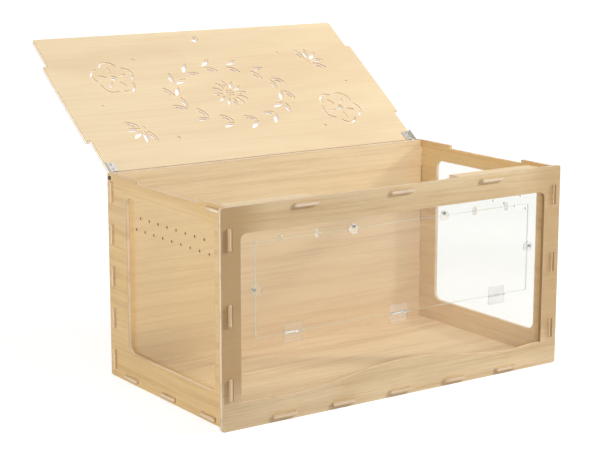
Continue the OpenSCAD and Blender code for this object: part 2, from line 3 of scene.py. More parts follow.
import bpy
import numpy as np
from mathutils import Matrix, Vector


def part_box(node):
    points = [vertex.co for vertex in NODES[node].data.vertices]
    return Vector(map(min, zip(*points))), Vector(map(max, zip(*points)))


bl_info = {
    "name": "Plywood hamster cage",
    "version": (1, 0, 0),
    "blender": (4, 5, 0),
    "location": "3D View > Sidebar > Hamster cage",
    "description": "Gives the cage's panels, panes and fittings their finishes and sets up the stage",
    "category": "Material",
}

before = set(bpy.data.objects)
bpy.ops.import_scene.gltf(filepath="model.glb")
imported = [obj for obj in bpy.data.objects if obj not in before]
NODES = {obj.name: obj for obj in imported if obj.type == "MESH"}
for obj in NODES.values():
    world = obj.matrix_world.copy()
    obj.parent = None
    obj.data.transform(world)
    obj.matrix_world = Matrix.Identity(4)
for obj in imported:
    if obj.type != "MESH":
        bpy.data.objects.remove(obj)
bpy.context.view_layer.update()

ALONG, DEEP, UP = Vector((1, 0, 0)), Vector((0, 1, 0)), Vector((0, 0, 1))

# The front panel's sheet: its outer and inner face lie this far along DEEP, in metres
FRONT_FACE, FRONT_BACK = (corner.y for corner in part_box("front_panel"))
SHEET = FRONT_BACK - FRONT_FACE


def nodes_like(*starts):
    """Names of the CAD nodes that begin with one of these words."""
    return [name for name in NODES if name.startswith(starts)]


CLEAR_FITTINGS = nodes_like("door_hinge_pane_leaf", "door_hinge_door_leaf", "door_disc", "door_stop")
PINS = nodes_like("door_hinge_pin")
MAGNETS = ["door_magnets", "pane_magnets"]
PLATED = nodes_like("lid_bracket", "lid_screws", "pivot_washer", "pivot_nut")
BOLTS = nodes_like("pivot_bolt")


def srgb(r, g, b):
    """Linear colour of an 8-bit screen colour: each channel over 255, bent by the sRGB curve."""
    c = np.array([r, g, b], float) / 255
    lin = np.where(c <= 0.04045, c / 12.92, ((c + 0.055) / 1.055) ** 2.4)
    return tuple(float(v) for v in lin)


# ---------- settings ----------


class CageWoodSettings(bpy.types.PropertyGroup):
    """Colours and figure of the plywood."""

    face: bpy.props.FloatVectorProperty(
        name="Face", description="Main colour of the veneer", subtype="COLOR", size=3,
        default=srgb(231, 205, 162), min=0, max=1)
    pale: bpy.props.FloatVectorProperty(
        name="Pale veneer", description="Colour of the palest veneer", subtype="COLOR", size=3,
        default=srgb(246, 225, 188), min=0, max=1)
    honey: bpy.props.FloatVectorProperty(
        name="Honey veneer", description="Colour of the warmest veneer", subtype="COLOR", size=3,
        default=srgb(232, 200, 143), min=0, max=1)
    figure: bpy.props.FloatVectorProperty(
        name="Figure", description="Colour of the veneer's darker growth bands", subtype="COLOR", size=3,
        default=srgb(200, 160, 113), min=0, max=1)
    # The colour that the front panel turns to towards both ends
    darker_end: bpy.props.FloatVectorProperty(
        name="Darker end", description="Colour of the veneer's darker parts", subtype="COLOR", size=3,
        default=srgb(202, 171, 129), min=0, max=1)
    blush: bpy.props.FloatVectorProperty(
        name="Blush", description="Colour of the veneer's pinkish patches", subtype="COLOR", size=3,
        default=srgb(234, 209, 172), min=0, max=1)
    pale_cut: bpy.props.FloatVectorProperty(
        name="Pale cut", description="Colour that the palest panels' cut edges lean to", subtype="COLOR",
        size=3, default=srgb(255, 244, 226), min=0, max=1)
    cut: bpy.props.FloatVectorProperty(
        name="Cut edge", description="Colour of the long-grain plies on a cut edge", subtype="COLOR", size=3,
        default=srgb(250, 230, 200), min=0, max=1)
    end_grain: bpy.props.FloatVectorProperty(
        name="End grain", description="Colour of the end-grain plies on a cut edge", subtype="COLOR", size=3,
        default=srgb(222, 188, 154), min=0, max=1)
    glue: bpy.props.FloatVectorProperty(
        name="Glue line", description="Colour of the glue between plies", subtype="COLOR", size=3,
        default=srgb(150, 111, 80), min=0, max=1)
    singe: bpy.props.FloatVectorProperty(
        name="Singed rim", description="Colour of the line that the laser leaves along a cut's rims",
        subtype="COLOR", size=3, default=srgb(142, 104, 74), min=0, max=1)
    # Painted shade on the front window's right jamb, which faces away from the key lamp; also the darker
    # front tenon ends
    jamb_shade_and_dark_ends: bpy.props.FloatVectorProperty(
        name="Jamb shade and dark ends", subtype="COLOR", size=3, default=srgb(138, 104, 70), min=0, max=1,
        description="Colour of the front window's right edge and of the side panels' front tenon ends")
    # Painted light: a glow on the palest panels' cut edges that no lamp gives
    cut_painted_light: bpy.props.FloatProperty(
        name="Painted cut light", description="Painted light on the palest panels' cut edges", default=0.28,
        min=0, max=1, subtype="FACTOR")
    plies: bpy.props.IntProperty(
        name="Plies", description="Number of plies in a panel", default=5, min=3, max=9)
    roughness: bpy.props.FloatProperty(
        name="Roughness", description="Roughness of the sanded veneer", default=0.62, min=0, max=1,
        subtype="FACTOR")


class CagePaneSettings(bpy.types.PropertyGroup):
    """Colours and shine of the clear sheets and clear fittings."""

    tint: bpy.props.FloatVectorProperty(
        name="Tint", description="Colour of the clear sheets", subtype="COLOR", size=3,
        default=(0.925, 0.935, 0.925), min=0, max=1)
    left_tint: bpy.props.FloatVectorProperty(
        name="Left tint", description="Colour of the clear sheet in the left window", subtype="COLOR",
        size=3, default=(0.985, 0.94, 0.74), min=0, max=1)
    fitting_tint: bpy.props.FloatVectorProperty(
        name="Fitting tint", description="Colour of the clear moulded fittings", subtype="COLOR", size=3,
        default=(0.93, 0.95, 0.96), min=0, max=1)
    ior: bpy.props.FloatProperty(
        name="Refraction", description="Index of refraction of acrylic", default=1.49, min=1, max=2)
    sheet_ior: bpy.props.FloatProperty(
        name="Sheet refraction", description="Index of refraction that lets a flat sheet show no bend",
        default=1.01, min=1, max=2)
    coat_roughness: bpy.props.FloatProperty(
        name="Coat roughness", description="Roughness of the sheets' shine", default=0.02, min=0, max=1,
        subtype="FACTOR")
    body: bpy.props.FloatProperty(
        name="Body", description="How much of a moulded piece's face refracts", default=0.45, min=0, max=1,
        subtype="FACTOR")
    edge_tint: bpy.props.FloatVectorProperty(
        name="Edge tint", description="Colour of the front pane's and door's cut edges", subtype="COLOR",
        size=3, default=(0.14, 0.16, 0.14), min=0, max=1)
    # Painted light on the front pane's and door's cut edges
    edge: bpy.props.FloatProperty(
        name="Painted edge light", description="How much a sheet's cut edge glows", default=2.2, min=0, max=4)
    hole: bpy.props.FloatVectorProperty(
        name="Vent hole", description="Colour of the shaded side of the vent holes", subtype="COLOR",
        size=3, default=srgb(52, 36, 18), min=0, max=1)
    shade: bpy.props.FloatProperty(
        name="Shade", description="How much light a clear piece holds back in its shadow", default=0.06,
        min=0, max=1, subtype="FACTOR")


class CageMetalSettings(bpy.types.PropertyGroup):
    """Colours of the pins, brackets, bolts and magnets."""

    plated: bpy.props.FloatVectorProperty(
        name="Zinc plating", description="Colour of the plated brackets, nuts and screws", subtype="COLOR",
        size=3, default=srgb(220, 216, 208), min=0, max=1)
    nickel: bpy.props.FloatVectorProperty(
        name="Nickel", description="Colour of the magnets and pins", subtype="COLOR", size=3,
        default=srgb(214, 212, 206), min=0, max=1)
    oxide: bpy.props.FloatVectorProperty(
        name="Black oxide", description="Colour of the pivot bolts", subtype="COLOR", size=3,
        default=srgb(96, 94, 92), min=0, max=1)


class CageStageSettings(bpy.types.PropertyGroup):
    """Floor, lamps and camera."""

    floor_size: bpy.props.FloatProperty(
        name="Floor", description="Width of the floor", default=40, min=5, max=80, unit="LENGTH")
    floor_colour: bpy.props.FloatVectorProperty(
        name="Floor colour", description="Colour of the pale floor", subtype="COLOR", size=3,
        default=(0.8, 0.8, 0.8), min=0, max=1)
    floor_glow: bpy.props.FloatProperty(
        name="Floor brightness", description="Light that the floor adds to what the camera sees",
        default=0.745, min=0, max=2)
    floor_far: bpy.props.FloatProperty(
        name="Far floor brightness", description="Brightness of the floor seen far from the cage",
        default=1.12, min=0, max=2)
    floor_seen: bpy.props.FloatVectorProperty(
        name="Floor colour in view", description="Colour of the floor where it is seen directly",
        subtype="COLOR", size=3, default=(0.43, 0.43, 0.43), min=0, max=1)
    lens: bpy.props.FloatProperty(
        name="Lens", description="Focal length on a 36 mm sensor", default=101.84, min=20, max=300,
        unit="CAMERA")
    camera_place: bpy.props.FloatVectorProperty(
        name="Camera place", description="Where the camera stands", subtype="TRANSLATION", size=3,
        default=(-2.4096, -3.0759, 1.2163), unit="LENGTH")
    camera_turn: bpy.props.FloatVectorProperty(
        name="Camera turn", description="How the camera is turned", subtype="EULER", size=3,
        default=(1.366666, 0, -0.603990))
    key_power: bpy.props.FloatProperty(
        name="Key lamp", description="Power of the key lamp", default=215, min=0, max=1000, unit="POWER")
    key_unshaded: bpy.props.FloatProperty(
        name="Unshaded share", description="Share of the key lamp that the right side panel doesn't shade",
        default=0.65, min=0, max=1, subtype="FACTOR")
    fill_power: bpy.props.FloatProperty(
        name="Fill lamp", description="Power of the fill lamp", default=38, min=0, max=1000, unit="POWER")
    top_power: bpy.props.FloatProperty(
        name="Top lamp", description="Power of the lamp overhead", default=27, min=0, max=1000, unit="POWER")
    front_power: bpy.props.FloatProperty(
        name="Front lamp", description="Power of the soft lamp in front", default=3, min=0, max=1000,
        unit="POWER")
    rear_power: bpy.props.FloatProperty(
        name="Rear lamp", description="Power of the lamp behind", default=30, min=0, max=1000, unit="POWER")
    ambient: bpy.props.FloatProperty(
        name="Room light", description="Strength of the even room light", default=0.19, min=0, max=2)
    gloss: bpy.props.FloatProperty(
        name="Room in gloss", description="Brightness of the room and floor in reflections", default=0.4,
        min=0, max=2)


# ---------- node building ----------


class Graph:
    """Adds nodes to one tree and links them."""

    def __init__(self, tree):
        self.tree = tree
        tree.nodes.clear()

    def put(self, socket, value):
        """Links the socket to another socket, or sets it to a plain value, with 1 as a colour's alpha."""
        if isinstance(value, bpy.types.NodeSocket):
            self.tree.links.new(value, socket)
        elif hasattr(socket.default_value, "__len__"):
            value = tuple(value)
            if len(value) < len(socket.default_value):
                value += (1.0,)
            socket.default_value = value
        else:
            socket.default_value = value

    def add(self, kind, settings=None, **inputs):
        """Adds a node with its own settings; an input's name is written with _ for each space."""
        node = self.tree.nodes.new(kind)
        for key, value in (settings or {}).items():
            setattr(node, key, value)
        for key, value in inputs.items():
            self.put(node.inputs[key.replace("_", " ")], value)
        return node

    def math(self, operation, *values, clamp=False):
        """The result of one Math node."""
        node = self.add("ShaderNodeMath", {"operation": operation, "use_clamp": clamp})
        for socket, value in zip(node.inputs, values):
            self.put(socket, value)
        return node.outputs[0]

    def vector(self, operation, *values):
        """The result of one Vector Math node: a number for a dot product or a length, else a vector."""
        node = self.add("ShaderNodeVectorMath", {"operation": operation})
        for socket, value in zip(node.inputs, values):
            self.put(socket, value)
        return node.outputs["Value" if operation in ("DOT_PRODUCT", "LENGTH") else "Vector"]

    def mix(self, factor, a, b):
        """The colour a where factor is 0 and b where it is 1."""
        node = self.add("ShaderNodeMix", {"data_type": "RGBA", "clamp_factor": True})
        self.put(node.inputs["Factor"], factor)
        colours = [socket for socket in node.inputs if socket.type == "RGBA"]
        for socket, colour in zip(colours, (a, b)):
            self.put(socket, colour)
        return next(socket for socket in node.outputs if socket.type == "RGBA")

    def noise(self, vector, scale, detail=2.0, rough=0.5):
        """Noise from 0 to 1, mostly near its middle, with about scale bumps per metre."""
        node = self.add("ShaderNodeTexNoise", Vector=vector, Scale=scale, Detail=detail, Roughness=rough)
        return node.outputs["Fac"]

    def stretched_noise(self, vector, stretch, detail=2.0, rough=0.5):
        """Noise whose bumps per metre along x, y and z are about the three numbers of stretch."""
        return self.noise(self.vector("MULTIPLY", vector, stretch), 1.0, detail, rough)

    def ramp(self, value, low, high, to_low=0.0, to_high=1.0):
        """value taken from low..high to to_low..to_high with a smooth step, and held at the ends."""
        node = self.add("ShaderNodeMapRange", {"interpolation_type": "SMOOTHSTEP"}, Value=value,
                        From_Min=low, From_Max=high, To_Min=to_low, To_Max=to_high)
        return node.outputs["Result"]


def group_of(name, inputs, outputs):
    """A new shader node group with named sockets: gives the group, its graph and its two ends' sockets."""
    tree = bpy.data.node_groups.new(name, "ShaderNodeTree")
    for label, kind, default in inputs:
        socket = tree.interface.new_socket(name=label, in_out="INPUT", socket_type=kind)
        if default is not None:
            socket.default_value = default
    for label, kind in outputs:
        tree.interface.new_socket(name=label, in_out="OUTPUT", socket_type=kind)
    graph = Graph(tree)
    source = tree.nodes.new("NodeGroupInput")
    sink = tree.nodes.new("NodeGroupOutput")
    return tree, graph, source.outputs, sink.inputs


COLOUR, VALUE, VECTOR = "NodeSocketColor", "NodeSocketFloat", "NodeSocketVector"


def veneer_group():
    """Rotary-cut veneer, from a vector with x along the grain, y across it and z through the sheet.

    Bands and streaks are noises stretched along the grain. Growth lines are a sine of the place across
    the grain, bent by another noise so that they wander and close into long eyes, and only some patches
    have them. Fibres and pores are finer noises, stretched further. All five darken the veneer towards
    Figure, as much as Strength says. The patches are a wide noise, which also turns Face towards Blush.
    Seed moves the whole pattern, so that no two panels are alike.
    """
    tree, g, i, o = group_of(
        "veneer",
        [("Grain", VECTOR, None), ("Seed", VALUE, 0.0), ("Face", COLOUR, (1, 1, 1, 1)),
         ("Figure", COLOUR, (0, 0, 0, 1)), ("Blush", COLOUR, (0, 0, 0, 1)), ("Strength", VALUE, 1.0)],
        [("Color", COLOUR), ("Height", VALUE), ("Roughness", VALUE)])
    shift = g.add("ShaderNodeCombineXYZ", X=i["Seed"], Y=g.math("MULTIPLY", i["Seed"], 1.9), Z=0.0)
    place = g.vector("ADD", g.vector("ADD", i["Grain"], (1.7, 3.1, 0.0)), shift.outputs[0])
    wide = g.stretched_noise(place, (1.3, 5.0, 1.0), 3.0, 0.55)
    bands = g.stretched_noise(place, (1.6, 26.0, 1.0), 4.0, 0.6)
    streaks = g.stretched_noise(place, (3.0, 130.0, 1.0), 4.0, 0.65)
    bend = g.stretched_noise(place, (1.1, 3.2, 1.0), 2.0, 0.45)
    across = g.add("ShaderNodeSeparateXYZ", Vector=place).outputs["Y"]
    phase = g.math("ADD", g.math("MULTIPLY", across, 95.0), g.math("MULTIPLY", bend, 46.0))
    lines = g.math("POWER", g.math("MULTIPLY_ADD", g.math("SINE", phase), 0.5, 0.5), 3.0)
    lines = g.math("MULTIPLY", lines, g.ramp(wide, 0.38, 0.62))
    fibre = g.stretched_noise(place, (26.0, 520.0, 60.0), 2.0, 0.6)
    pores = g.ramp(g.stretched_noise(place, (70.0, 1100.0, 90.0), 1.0), 0.63, 0.72)
    dark = g.math("ADD", g.ramp(bands, 0.38, 0.75, 0.0, 0.45), g.math("MULTIPLY", lines, 0.3))
    dark = g.math("ADD", dark, g.ramp(streaks, 0.4, 0.72, 0.0, 0.6))
    dark = g.math("ADD", dark, g.math("MULTIPLY", g.math("SUBTRACT", fibre, 0.5), 0.5))
    dark = g.math("ADD", dark, g.math("MULTIPLY", pores, 0.4))
    dark = g.math("MULTIPLY", dark, i["Strength"], clamp=True)
    colour = g.mix(g.ramp(wide, 0.45, 0.7, 0.0, 0.8), i["Face"], i["Blush"])
    g.put(o["Color"], g.mix(dark, colour, i["Figure"]))
    g.put(o["Height"], g.math("SUBTRACT", g.math("MULTIPLY", fibre, 0.5), g.math("MULTIPLY", pores, 0.5)))
    g.put(o["Roughness"], g.math("MULTIPLY_ADD", fibre, 0.12, -0.06))
    return tree


def cut_edge_group():
    """Cut plywood edge: even plies through the thickness, every second one in end grain, glue between,
    and a singed line along both rims.

    Depth runs from 0 at one face to 1 at the other. Depth times the number of plies gives the ply's
    number in its whole part and the place in the ply in its fraction. Rim is how far from the middle, in
    sheet thicknesses, the singe begins. Mask is 1 on the cut edges and 0 on the two faces.
    """
    tree, g, i, o = group_of(
        "cut_edge",
        [("Grain", VECTOR, None), ("Depth", VALUE, 0.5), ("Plies", VALUE, 5.0), ("Rim", VALUE, 0.36),
         ("Cut", COLOUR, (1, 1, 1, 1)), ("End grain", COLOUR, (0, 0, 0, 1)),
         ("Glue", COLOUR, (0, 0, 0, 1)), ("Singe", COLOUR, (0, 0, 0, 1))],
        [("Color", COLOUR), ("Mask", VALUE), ("Height", VALUE)])
    run = g.math("MULTIPLY", i["Depth"], i["Plies"])
    odd = g.math("MODULO", g.math("FLOOR", run), 2.0)
    part = g.math("ABSOLUTE", g.math("SUBTRACT", g.math("FRACT", run), 0.5))
    speck = g.stretched_noise(i["Grain"], (420.0, 420.0, 420.0))
    blotch = g.stretched_noise(i["Grain"], (24.0, 24.0, 24.0))
    colour = g.mix(g.math("MULTIPLY", odd, 0.55), i["Cut"], i["End grain"])
    colour = g.mix(g.ramp(speck, 0.45, 0.75, 0.0, 0.3), colour, i["End grain"])
    colour = g.mix(g.ramp(blotch, 0.5, 0.75, 0.0, 0.25), colour, i["Glue"])
    glue = g.ramp(part, 0.42, 0.5, 0.0, 0.45)
    colour = g.mix(glue, colour, i["Glue"])
    rim = g.math("ABSOLUTE", g.math("SUBTRACT", i["Depth"], 0.5))
    singed = g.ramp(rim, i["Rim"], g.math("ADD", i["Rim"], 0.12), 0.0, 0.9)
    g.put(o["Color"], g.mix(singed, colour, i["Singe"]))
    inside = g.math("MULTIPLY", g.ramp(i["Depth"], 0.004, 0.03), g.ramp(i["Depth"], 0.97, 0.996, 1.0, 0.0))
    g.put(o["Mask"], inside)
    g.put(o["Height"], g.math("SUBTRACT", g.math("MULTIPLY", speck, 0.4), g.math("MULTIPLY", glue, 0.5)))
    return tree


def smudge_group():
    """Handling marks: a wide noise that dulls the surface in patches, and fine scratches in it.

    The panes and the metal fittings share one group, which the first of them makes.
    """
    made = bpy.data.node_groups.get("smudge")
    if made:
        return made
    tree, g, i, o = group_of(
        "smudge",
        [("Place", VECTOR, None), ("Size", VALUE, 30.0), ("Low", VALUE, 0.1), ("High", VALUE, 0.3)],
        [("Roughness", VALUE), ("Height", VALUE), ("Mask", VALUE)])
    cloud = g.noise(i["Place"], i["Size"], 3.0, 0.6)
    fine = g.noise(g.vector("MULTIPLY", i["Place"], (60.0, 60.0, 900.0)), 2.0, 2.0)
    mask = g.ramp(cloud, 0.4, 0.7)
    spread = g.math("MULTIPLY", g.math("SUBTRACT", i["High"], i["Low"]), mask)
    g.put(o["Roughness"], g.math("ADD", i["Low"], spread))
    g.put(o["Height"], fine)
    g.put(o["Mask"], mask)
    return tree


def material(name):
    """A fresh node material with its graph, its Principled shader and its Object coordinates."""
    mat = bpy.data.materials.new(name)
    mat.use_nodes = True
    g = Graph(mat.node_tree)
    shader = g.add("ShaderNodeBsdfPrincipled")
    g.put(g.add("ShaderNodeOutputMaterial").inputs["Surface"], shader.outputs[0])
    place = g.add("ShaderNodeTexCoord").outputs["Object"]
    return mat, g, shader, place


def placed(g, tree, **inputs):
    """The outputs of a node group placed in the graph g."""
    node = g.add("ShaderNodeGroup", {"node_tree": tree})
    for key, value in inputs.items():
        g.put(node.inputs[key.replace("_", " ")], value)
    return node.outputs


def give(nodes, mat):
    """Puts one material on every slot of the named CAD nodes."""
    for name in nodes:
        slots = NODES[name].material_slots
        if not slots:
            NODES[name].data.materials.append(mat)
        for slot in slots:
            slot.material = mat


# ---------- plywood ----------


def lid_normal():
    """Unit vector through the lid, square to its flat face, from its largest triangle."""
    mesh = NODES["lid_panel"].data
    area = np.zeros(len(mesh.polygons))
    mesh.polygons.foreach_get("area", area)
    return mesh.polygons[int(area.argmax())].normal.copy()


def panel_table():
    """Name, grain direction, sheet direction, tone and figure strength of each panel's veneer.

    The tone runs from -1, honey, through 0 to 1, pale.
    """
    return [
        ("front_panel", ALONG, DEEP, 0.0, 0.6),
        ("back_panel", ALONG, DEEP, 0.45, 0.6),
        ("left_side_panel", DEEP, ALONG, -0.7, 0.65),
        ("right_side_panel", DEEP, ALONG, -0.7, 0.7),
        ("floor_panel", ALONG, UP, 0.2, 0.8),
        ("top_rail", ALONG, UP, 0.7, 0.6),
        ("lid_panel", ALONG, lid_normal(), 1.0, 0.45),
    ]


# Where a panel's colour drifts to another colour: the front panel is paler towards its top and
# bottom and darker towards both ends, the back panel paler towards its top. Each row holds the
# direction, the places along it in metres where the drift starts and ends, the colour's name in the
# settings, and how far the drift goes.
DRIFTS = {
    "front_panel": [
        (UP, 0.44, 0.5, "pale", 0.45),
        (-ALONG, 0.34, 0.47, "darker_end", 1.0),
        (ALONG, 0.36, 0.47, "darker_end", 0.7),
        (Vector((-0.05, 0, -1)), -0.12, -0.02, "pale", 0.7),
    ],
    "back_panel": [(UP, 0.36, 0.5, "pale", 0.6)],
}

# How much the edge of a drift wanders either way, in metres, and how many waves it has per metre
DRIFT_WANDER, DRIFT_WAVES = 0.06, 7.0

# Where a cut's singe starts, in sheet thicknesses from the sheet's middle, and how much further in it
# starts on the palest panel, whose wider dark rim is partly singe and partly painted shade
SINGE_START, PALE_SINGE_AND_SHADE_SHIFT = 0.36, 0.15

# The depth into the sheet from which each side panel's front tenon ends are darker
TENON_DARKENING = {"left_side_panel": 0.7, "right_side_panel": 0.25}

# The front tenons' darkening fades in over this stretch, in metres proud of the front panel's outer face
TENON_DARK_PROUD = (0.0015, 0.0055)

# The front window's right jamb gets painted shade to the right of this stretch, in metres from the middle
JAMB_SHADE_RIGHT = (0.2, 0.3)


def sheet_start(name, normal):
    """Least distance along normal of the panel's corners: where its sheet begins."""
    mesh = NODES[name].data
    co = np.zeros(len(mesh.vertices) * 3, np.float32)
    mesh.vertices.foreach_get("co", co)
    return float((co.reshape(-1, 3) @ np.array(normal)).min())


def drifted(g, name, place, main, blush, settings):
    """A panel's two veneer colours, each mixed with the colours that the panel drifts to."""
    rows = DRIFTS.get(name)
    if not rows:
        return main, blush
    wander = g.math("MULTIPLY_ADD", g.noise(place, DRIFT_WAVES), 2 * DRIFT_WANDER, -DRIFT_WANDER)
    for direction, start, stop, colour, amount in rows:
        along = g.math("ADD", g.vector("DOT_PRODUCT", place, direction), wander)
        drift = g.ramp(along, start, stop, 0.0, amount)
        aim = tuple(getattr(settings, colour))
        main, blush = g.mix(drift, main, aim), g.mix(drift, blush, aim)
    return main, blush


def shaded_and_darkened(g, name, place, depth, edges, settings):
    """The colour of a panel's cut edges: painted shade on the front window's right jamb, darker front tenon
    ends.
    """
    if name == "front_panel":
        # Painted shade: the front window's right jamb faces left, away from the key lamp
        facing = g.add("ShaderNodeTexCoord").outputs["Normal"]
        leftward = g.ramp(g.vector("DOT_PRODUCT", facing, -ALONG), 0.4, 0.8)
        rightmost = g.ramp(g.vector("DOT_PRODUCT", place, ALONG), *JAMB_SHADE_RIGHT, 0.0, 0.8)
        darkening = g.math("MULTIPLY", leftward, rightmost)
    elif name in TENON_DARKENING:
        # The side panels' front tenon ends are darker from this depth into the sheet on
        start = TENON_DARKENING[name]
        low, high = (FRONT_FACE - proud for proud in reversed(TENON_DARK_PROUD))
        proud = g.ramp(g.vector("DOT_PRODUCT", place, DEEP), low, high, 1.0, 0.0)
        darkening = g.math("MULTIPLY", proud, g.ramp(depth, start, start + 0.1, 0.0, 0.85))
    else:
        return edges
    return g.mix(darkening, edges, tuple(settings.jamb_shade_and_dark_ends))


def plywood(name, grain, normal, tone, strength, seed, settings, veneer, edge):
    """Veneer on the faces, plies on the cut edges, told apart by the depth into the sheet."""
    mat, g, shader, place = material("plywood_" + name)
    u, v, w = (g.vector("DOT_PRODUCT", place, axis) for axis in (grain, normal.cross(grain), normal))
    turned = g.add("ShaderNodeCombineXYZ", X=u, Y=v, Z=w).outputs[0]
    depth = g.math("DIVIDE", g.math("SUBTRACT", w, sheet_start(name, normal)), SHEET)
    end = Vector(settings.pale if tone > 0 else settings.honey)
    face = Vector(settings.face).lerp(end, abs(tone))
    figure = Vector(settings.figure).lerp(face, max(tone, 0.0) * 0.6)
    blush = face.lerp(Vector(settings.blush), 0.8)
    main, blush = drifted(g, name, place, tuple(face), tuple(blush), settings)
    wood = placed(g, veneer, Grain=turned, Seed=seed, Face=main, Figure=tuple(figure), Blush=blush,
                  Strength=strength)
    # The palest panel leans most: its cut edges are paler, get painted light, and are singed further in,
    # a wider dark rim that is partly singe and partly painted shade
    lean = max(tone, 0.0) ** 6
    cut, end_grain, glue = (Vector(colour).lerp(Vector(settings.pale_cut), lean)
                            for colour in (settings.cut, settings.end_grain, settings.glue))
    ends = placed(g, edge, Grain=turned, Depth=depth, Plies=float(settings.plies), Cut=cut,
                  End_grain=end_grain, Glue=glue, Singe=settings.singe,
                  Rim=SINGE_START - PALE_SINGE_AND_SHADE_SHIFT * lean)
    edges = shaded_and_darkened(g, name, place, depth, ends["Color"], settings)
    g.put(shader.inputs["Base Color"], g.mix(ends["Mask"], wood["Color"], edges))
    rough = g.math("ADD", wood["Roughness"], settings.roughness)
    rough = g.math("ADD", rough, g.math("MULTIPLY", ends["Mask"], 0.2), clamp=True)
    g.put(shader.inputs["Roughness"], rough)
    height = g.math("ADD", wood["Height"], g.math("MULTIPLY", ends["Mask"], ends["Height"]))
    bump = g.add("ShaderNodeBump", Height=height, Strength=0.25, Distance=0.0003)
    g.put(shader.inputs["Normal"], bump.outputs[0])
    # Painted light: the palest panels' cut edges glow in their own colour
    glow = g.math("MULTIPLY", ends["Mask"], settings.cut_painted_light * lean)
    g.put(shader.inputs["Emission Color"], g.mix(glow, (0, 0, 0), ends["Color"]))
    shader.inputs["Emission Strength"].default_value = 1.0
    shader.inputs["Specular IOR Level"].default_value = 0.12
    return mat


class CAGE_OT_panels(bpy.types.Operator):
    """Finish the seven plywood panels: veneer on the faces and plies on the cut edges"""

    bl_idname = "cage.panels"
    bl_label = "Plywood panels"

    def execute(self, context):
        settings = context.scene.cage_wood
        veneer, edge = veneer_group(), cut_edge_group()
        for number, (name, grain, normal, tone, strength) in enumerate(panel_table()):
            seed = 4.3 * number + 1.1
            give([name], plywood(name, grain, normal, tone, strength, seed, settings, veneer, edge))
        return {"FINISHED"}


# ---------- clear pieces ----------


def soft_rays(g):
    """1 on shadow and diffuse rays, which clear pieces let pass almost freely, else 0."""
    path = g.add("ShaderNodeLightPath").outputs
    return g.math("MAXIMUM", path["Is Shadow Ray"], path["Is Diffuse Ray"])


def clear_sheet(name, normal, tint, cut, glow, settings, smudge, shaded=None):
    """Clear acrylic sheet: its faces let the view straight through and shine with a clear coat.

    Its cut edges, where the surface turns away from normal, take the colour cut and the painted light
    glow. With a direction in shaded, only the edges that are square to it take that colour, and only
    where they are seen from the air.
    """
    mat, g, shader, place = material(name)
    marks = placed(g, smudge, Place=place, Size=9.0, Low=0.0, High=0.02)
    facing = g.add("ShaderNodeTexCoord").outputs["Normal"]
    turn = g.vector("DOT_PRODUCT", facing, normal)
    flat = g.ramp(g.math("ABSOLUTE", turn), 0.3, 0.7)
    slant = g.add("ShaderNodeLayerWeight", Blend=0.5).outputs["Facing"]
    deep = g.mix(g.ramp(slant, 0.6, 1.0, 0.0, 0.5), tuple(tint), tuple(c * c for c in tint))
    cut = tuple(cut)
    if shaded is not None:
        backs = g.add("ShaderNodeNewGeometry").outputs["Backfacing"]
        square = g.math("ABSOLUTE", g.vector("DOT_PRODUCT", facing, shaded))
        square = g.math("MULTIPLY", g.ramp(square, 0.4, 0.8), g.math("SUBTRACT", 1.0, backs))
        cut = g.mix(square, tuple(tint), cut)
    g.put(shader.inputs["Base Color"], g.mix(flat, cut, deep))
    g.put(shader.inputs["Emission Color"], g.mix(flat, glow, (0, 0, 0)))
    shader.inputs["Emission Strength"].default_value = 1.0
    g.put(shader.inputs["Roughness"], marks["Roughness"])
    shader.inputs["Transmission Weight"].default_value = 1.0
    shader.inputs["IOR"].default_value = settings.sheet_ior
    shader.inputs["Coat Weight"].default_value = 1.0
    shader.inputs["Coat Roughness"].default_value = settings.coat_roughness
    shader.inputs["Coat IOR"].default_value = settings.ior
    g.put(shader.inputs["Alpha"], g.math("MULTIPLY_ADD", soft_rays(g), settings.shade - 1.0, 1.0))
    return mat


def clear_moulding(name, tint, settings, smudge):
    """Clear moulded piece: it refracts, more fully at a slant by Layer Weight, and is lightly scuffed."""
    mat, g, shader, place = material(name)
    marks = placed(g, smudge, Place=place, Size=9.0, Low=0.05, High=0.12)
    shader.inputs["Base Color"].default_value = (*tint, 1)
    shader.inputs["Transmission Weight"].default_value = 1.0
    shader.inputs["IOR"].default_value = settings.ior
    g.put(shader.inputs["Roughness"], marks["Roughness"])
    slant = g.add("ShaderNodeLayerWeight", Blend=0.5).outputs["Facing"]
    seen = g.ramp(g.math("POWER", slant, 2.0), 0.0, 1.0, settings.body, 1.0)
    fade = g.math("SUBTRACT", settings.shade, seen)
    g.put(shader.inputs["Alpha"], g.math("MULTIPLY_ADD", soft_rays(g), fade, seen))
    return mat


class CAGE_OT_panes(bpy.types.Operator):
    """Finish the clear pieces: the panes, and the door with its hinges, discs and stops"""

    bl_idname = "cage.panes"
    bl_label = "Clear panes"

    def execute(self, context):
        settings = context.scene.cage_pane
        smudge = smudge_group()
        # The front pane's and door's cut edges get painted light: the edge tint times the edge light
        glow = tuple(c * settings.edge for c in settings.edge_tint)
        front = clear_sheet("clear_acrylic_front", DEEP, settings.tint, settings.edge_tint, glow, settings,
                            smudge)
        give(["front_pane", "door_pane"], front)
        # The side panes' vent hole walls that face front or back get painted shade, the colour hole
        for side, tint in (("left", settings.left_tint), ("right", settings.tint)):
            pane = clear_sheet("clear_acrylic_" + side, ALONG, tint, settings.hole, (0, 0, 0), settings,
                               smudge, DEEP)
            give([side + "_pane"], pane)
        give(CLEAR_FITTINGS, clear_moulding("clear_moulded", settings.fitting_tint, settings, smudge))
        return {"FINISHED"}


# ---------- metal ----------


